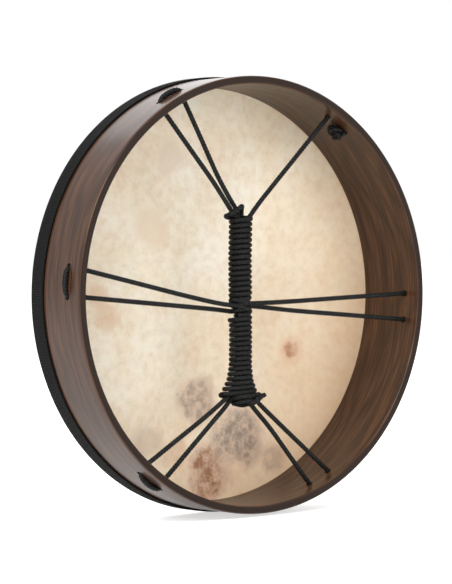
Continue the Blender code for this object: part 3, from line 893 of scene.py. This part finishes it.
def laceStrands():
    top, foot = grip["coreTop"], grip["coreFoot"]
    low, high = holeAngles("upperLeft")
    layCord("strandUpperLeftA", fromHole(high, (-0.0370, 0.0, 0.1045)) + [
        (-0.0226, -0.0002, 0.0856), (-0.0152, -0.0006, 0.0757), (-0.0110, -0.0018, 0.0714)]
        + coreEnd(-1, -1, top), ["strand_upper_left_a"])
    layCord("strandUpperLeftB", fromHole(low, (-0.0322, 0.0, 0.1105)) + [
        (-0.0180, 0.0002, 0.0890), (-0.0108, 0.0007, 0.0793), (-0.0081, 0.0021, 0.0742)]
        + coreEnd(-1, 1, top), ["strand_upper_left_b"])
    low, high = holeAngles("upperRight")
    layCord("strandUpperRight", fromHole(high, (0.0190, 0.0, 0.0884)) + [
        (0.0102, 0.0, 0.0794), (0.0036, -0.0006, 0.0726), (-0.0026, -0.0020, 0.0672)]
        + coreEnd(1, -1, top), ["strand_upper_right"])
    low, high = holeAngles("lowerLeft")
    layCord("strandLowerLeftA", fromHole(low, (-0.0527, 0.0, -0.1115)) + [
        (-0.0330, 0.0, -0.0991), (-0.0240, -0.0007, -0.0922), (-0.0184, -0.0018, -0.0848),
        (-0.0141, -0.0024, -0.0785)] + coreEnd(-1, -1, foot), ["strand_lower_left_a"])
    layCord("strandLowerLeftB", fromHole(high, (-0.0457, 0.0, -0.1180)) + [
        (-0.0254, 0.0006, -0.1006), (-0.0176, 0.0017, -0.0917), (-0.0141, 0.0024, -0.0830)]
        + coreEnd(-1, 1, foot), ["strand_lower_left_b"])
    low, high = holeAngles("lowerRight")
    layCord("strandLowerRightA", fromHole(low, (0.0244, 0.0, -0.1262)) + [
        (0.0018, 0.0010, -0.1016), (-0.0044, 0.0018, -0.0925), (-0.0073, 0.0024, -0.0840)]
        + coreEnd(1, 1, foot), ["strand_lower_right_a"])
    layCord("strandLowerRightB", fromHole(high, (0.0366, 0.0, -0.1234)) + [
        (0.0088, -0.0005, -0.1000), (-0.0004, -0.0014, -0.0916), (-0.0044, -0.0021, -0.0840),
        (-0.0070, -0.0024, -0.0775)] + coreEnd(1, -1, foot), ["strand_lower_right_b"])


def laceWaist():
    low, high = holeAngles("left")
    layCord("strandLeftA", fromHole(low, (-0.0674, -0.0010, 0.0001)) + [(-0.0330, -0.0036, -0.0074)]
            + hook(215, 325, -0.0098, -0.0152) + meeting(1, -1, -0.0156), ["strand_left_a"])
    layCord("strandLeftB", fromHole(high, (-0.0673, 0.0010, -0.0091)) + [(-0.0330, 0.0036, -0.0128)]
            + hook(145, 35, -0.0150, -0.0155) + meeting(1, 1, -0.0156), ["strand_left_b"])
    low, high = holeAngles("right")
    layCord("strandRightA", fromHole(high, (0.0511, -0.0010, -0.0077)) + [(0.0170, -0.0036, -0.0080)]
            + hook(-35, -145, -0.0078, -0.0046) + meeting(-1, -1, -0.0042), ["strand_right_a"])
    layCord("strandRightB", fromHole(low, (0.0509, 0.0010, -0.0160)) + [(0.0170, 0.0036, -0.0118)]
            + hook(35, 145, -0.0098, -0.0052) + meeting(-1, 1, -0.0042), ["strand_right_b"])


def layCores():
    # the stretches that the turns hide: seven cores, and the lead of the binding
    gap, thin = cord["faceGap"], cord["boundDiameter"]
    above = {"core_upper_a": (-1, -1), "core_upper_b": (-1, 1), "core_upper_c": (1, -1)}
    below = {"core_lower_a": (-1, -1), "core_lower_b": (-1, 1),
             "core_lower_c": (1, 1), "core_lower_d": (1, -1)}
    waist, top, foot = grip["waist"], grip["coreTop"], grip["coreFoot"]
    for node, (side, face) in above.items():
        layCord(node.replace("_", "."), [corePlace(side, face, top - gap / 2), corePlace(side, face, 0.033),
                corePlace(side, face, waist + gap / 2)], [node], thin, hidden=True)
    for node, (side, face) in below.items():
        layCord(node.replace("_", "."), [corePlace(side, face, foot + gap / 2), corePlace(side, face, -0.045),
                corePlace(side, face, waist - gap / 2)], [node], thin, hidden=True)
    layCord("bindingLead", [corePlace(1, 1, waist + gap / 2), corePlace(1, 1, 0.033), corePlace(1, 1, 0.06),
            (-0.0032, 0.0030, 0.0680), (-0.0029, 0.0032, 0.0735)], ["binding_lead"], thin, hidden=True)


def bindGrip():
    # the collar goes up and over the upper left pair before the turns start
    collar = [
        (-0.0029, 0.0032, 0.0735 + cord["faceGap"]), (-0.0028, 0.0032, 0.0772), (-0.0040, 0.0012, 0.0810),
        (-0.0076, -0.0036, 0.0824), (-0.0127, -0.0062, 0.0808), (-0.0186, -0.0052, 0.0768),
        (-0.0214, 0.0004, 0.0743), (-0.0186, 0.0062, 0.0734), (-0.0128, 0.0098, 0.0724),
    ]
    dip, upper = grip["dip"], grip["upper"]

    def tucked(turn):
        # the last turns of the upper binding run on under the crossing pairs
        height = upper["start"] + (upper["end"] - upper["start"]) * turn / upper["turns"]
        below = min(max((dip["top"] - height) / dip["fadeIn"], 0), 1)
        above = min(max((height - dip["foot"]) / dip["fadeOut"] + 1, 0), 1)
        return 0.0016 * math.exp(-turn / 0.25) - dip["depth"] * below * above

    def startProud(turn):
        # the first turn of the lower binding stands out where the cord enters it
        return 0.0014 * math.exp(-((turn - 0.75) / 0.2) ** 2)

    layCord("gripUpperBinding", collar + windings(upper, tucked), ["winding_upper"], cord["upperDiameter"])
    layCord("gripLowerBinding", windings(grip["lower"], startProud), ["winding_lower"], cord["lowerDiameter"])


def tieEndHitch():
    # the last of the cord: it goes round the forks of the lower pairs to its cut end
    layCord("endHitch", [
        (-0.0303, 0.0003 + cord["faceGap"], -0.0911), (-0.0300, 0.0044, -0.0920), (-0.0240, 0.0090, -0.0935),
        (-0.0140, 0.0095, -0.0950), (-0.0040, 0.0085, -0.0950), (0.0040, 0.0062, -0.0943),
        (0.0090, 0.0000, -0.0935), (0.0060, -0.0070, -0.0932), (-0.0020, -0.0098, -0.0935),
        (-0.0110, -0.0102, -0.0937), (-0.0185, -0.0086, -0.0942), (-0.0222, -0.0022, -0.0956),
        (-0.0185, 0.0050, -0.0970), (-0.0095, 0.0078, -0.0985), (-0.0010, 0.0060, -0.0990),
        (0.0040, 0.0002, -0.0990), (0.0010, -0.0072, -0.0983), (-0.0060, -0.0100, -0.0980),
        (-0.0135, -0.0088, -0.0984), (-0.0182, -0.0030, -0.0996), (-0.0160, 0.0034, -0.1006),
        (-0.0110, 0.0040, -0.1018), (-0.0092, -0.0010, -0.1024), (-0.0080, -0.0070, -0.1014),
        (-0.0050, -0.0125, -0.1000), (0.0000, -0.0136, -0.0972), (0.0046, -0.0118, -0.0950),
        (0.0080, -0.0096, -0.0942), (0.0120, -0.0080, -0.0938)],
        ["end_hitch"], cord["diameter"])


# Stopper knot: an overhand knot that lies flat against the inner wall

knot = {"reach": 6.9 * mm, "ring": 4.6 * mm, "lobe": 2.3 * mm, "clearance": 2.3 * mm, "steps": 30}


def tieStopperKnot():
    reach, ring, lobe = knot["reach"], knot["ring"], knot["lobe"]
    hole = holeAngles("upperRight")[0]
    low = innerRadius - lobe - knot["clearance"]
    middle = onRadius(low, hole + reach / low, 0.0042)
    inward = -onRadius(1, hole + reach / low)
    along = Vector((0, -1, 0))
    across = along.cross(inward)
    if across.dot(onRadius(1, hole) - onRadius(1, hole + 0.1)) < 0:
        across = -across
    loop = []
    for i in range(knot["steps"] + 1):
        t = 2 * math.pi * i / knot["steps"]
        rise = math.sin(3 * t)
        if t < math.pi / 6:
            rise = 1.0
        if t > 2 * math.pi - math.pi / 6:
            rise = -1.0
        wide = ring + lobe * math.cos(3 * t)
        flat = across * wide * math.cos(2 * t) - along * wide * math.sin(2 * t)
        loop.append(middle + flat - inward * lobe * rise)
    start = [onRadius(midWall - cord["faceGap"] / 2, hole), onRadius(innerRadius + 0.0006, hole),
             onRadius(innerRadius - 0.0014, hole, 0.0006), onRadius(innerRadius - 0.0024, hole, 0.0022)]
    tail = [loop[-1] - along * 0.004, loop[-1] - along * 0.008]
    layCord("stopperKnot", start + loop + tail, ["stopper_knot"], cord["knotDiameter"])


# Bights: outside the hoop each pair of holes is joined by one short bight. Each
# place is a way along the wall from its hole, and a rise above the wall.

bight = {
    "near": [(0.0, -drum["wall"] / 2 + cord["faceGap"] / 2), (0.0002, -0.0022), (0.0014, 0.0001),
             (0.0038, 0.0016), (0.0066, 0.0023), (0.0100, 0.0026)],
    "crown": 2.7 * mm,
    "swell": 0.2,
    "nodes": {"upperRight": "bight_upper_right", "upperLeft": "bight_upper_left", "left": "bight_left",
              "lowerLeft": "bight_lower_left", "lowerRight": "bight_lower_right", "right": "bight_right"},
}


def laceBights():
    for pair, node in bight["nodes"].items():
        first, last = holeAngles(pair)
        half = (last - first) / 2 * drum["radius"]
        radius, near = drum["radius"], bight["near"]
        route = [onRadius(radius + rise, first + along / radius) for along, rise in near]
        route.append(onRadius(radius + bight["crown"], first + half / radius))
        route += [onRadius(radius + rise, last - along / radius) for along, rise in reversed(near)]
        layCord("bight" + pair[0].upper() + pair[1:], route, [node], swell=bight["swell"])


laceStrands()
laceWaist()
layCores()
bindGrip()
tieEndHitch()
tieStopperKnot()
laceBights()
print("cord laced and bound")


# Floor, world and lights: a pale floor in a plain white studio

studio = {
    "floor": "#f4f4f3",
    "floorSize": 12,
    "floorDrop": 1 * mm,
    "floorGlow": 0.6,
    "domeStrength": 0.78,
    "lamps": {
        "keyLamp": {"place": (-1.9, -1.2, 1.7), "energy": 52.0, "size": 1.6},
        "fillLamp": {"place": (1.2, -2.6, 0.6), "energy": 13.0, "size": 1.4},
        "rimLamp": {"place": (1.1, 2.25, 1.42), "energy": 26.0, "size": 2.2},
    },
}


def backgroundRays(tree):
    # one for the rays that show the background: seen straight, in gloss or through glass
    ray = addNode(tree, "ShaderNodeLightPath")
    seen = addNode(tree, "ShaderNodeMath", {"operation": "ADD", "use_clamp": True},
                   {0: ray.outputs["Is Camera Ray"], 1: ray.outputs["Is Glossy Ray"]})
    return addNode(tree, "ShaderNodeMath", {"operation": "ADD", "use_clamp": True},
                   {0: seen.outputs[0], 1: ray.outputs["Is Transmission Ray"]}).outputs[0]


def makeFloor():
    low = boxAtLoad[0][2] - studio["floorDrop"]
    size = studio["floorSize"]
    mesh = bpy.data.meshes.new("floor")
    mesh.from_pydata([(-size, -size, low), (size, -size, low), (size, size, low), (-size, size, low)], [],
                     [(0, 1, 2, 3)])
    obj = bpy.data.objects.new("floor", mesh)
    scene.collection.objects.link(obj)
    mat = bpy.data.materials.new("palePaintedFloor")
    mat.use_nodes = True
    tree = mat.node_tree
    tree.nodes.clear()
    glow = addNode(tree, "ShaderNodeMath", {"operation": "MULTIPLY"},
                   {0: backgroundRays(tree), 1: studio["floorGlow"]})
    paint = addNode(tree, "ShaderNodeBsdfDiffuse", inputs={"Color": linear(studio["floor"])})
    light = addNode(tree, "ShaderNodeEmission", inputs={"Strength": glow.outputs[0]})
    both = addNode(tree, "ShaderNodeAddShader", inputs={0: paint.outputs[0], 1: light.outputs[0]})
    addNode(tree, "ShaderNodeOutputMaterial", inputs={"Surface": both.outputs[0]})
    mesh.materials.append(mat)


def makeWorld():
    world = bpy.data.worlds.new("whiteStudio")
    scene.world = world
    world.use_nodes = True
    tree = world.node_tree
    tree.nodes.clear()
    strength = addNode(tree, "ShaderNodeMapRange", inputs={
        "Value": backgroundRays(tree), "To Min": studio["domeStrength"], "To Max": 1.0})
    sky = addNode(tree, "ShaderNodeBackground", inputs={"Strength": strength.outputs[0]})
    sky.inputs["Color"].default_value = (1, 1, 1, 1)
    addNode(tree, "ShaderNodeOutputWorld", inputs={"Surface": sky.outputs[0]})


def addLamp(name, lamp):
    data = bpy.data.lights.new(name, "AREA")
    data.energy = lamp["energy"]
    data.size = lamp["size"]
    obj = bpy.data.objects.new(name, data)
    scene.collection.objects.link(obj)
    obj.location = lamp["place"]
    obj.visible_camera = False
    obj.rotation_euler = Vector(lamp["place"]).to_track_quat("Z", "Y").to_euler()


makeFloor()
makeWorld()
for lampName, lampSettings in studio["lamps"].items():
    addLamp(lampName, lampSettings)
print("studio lit")
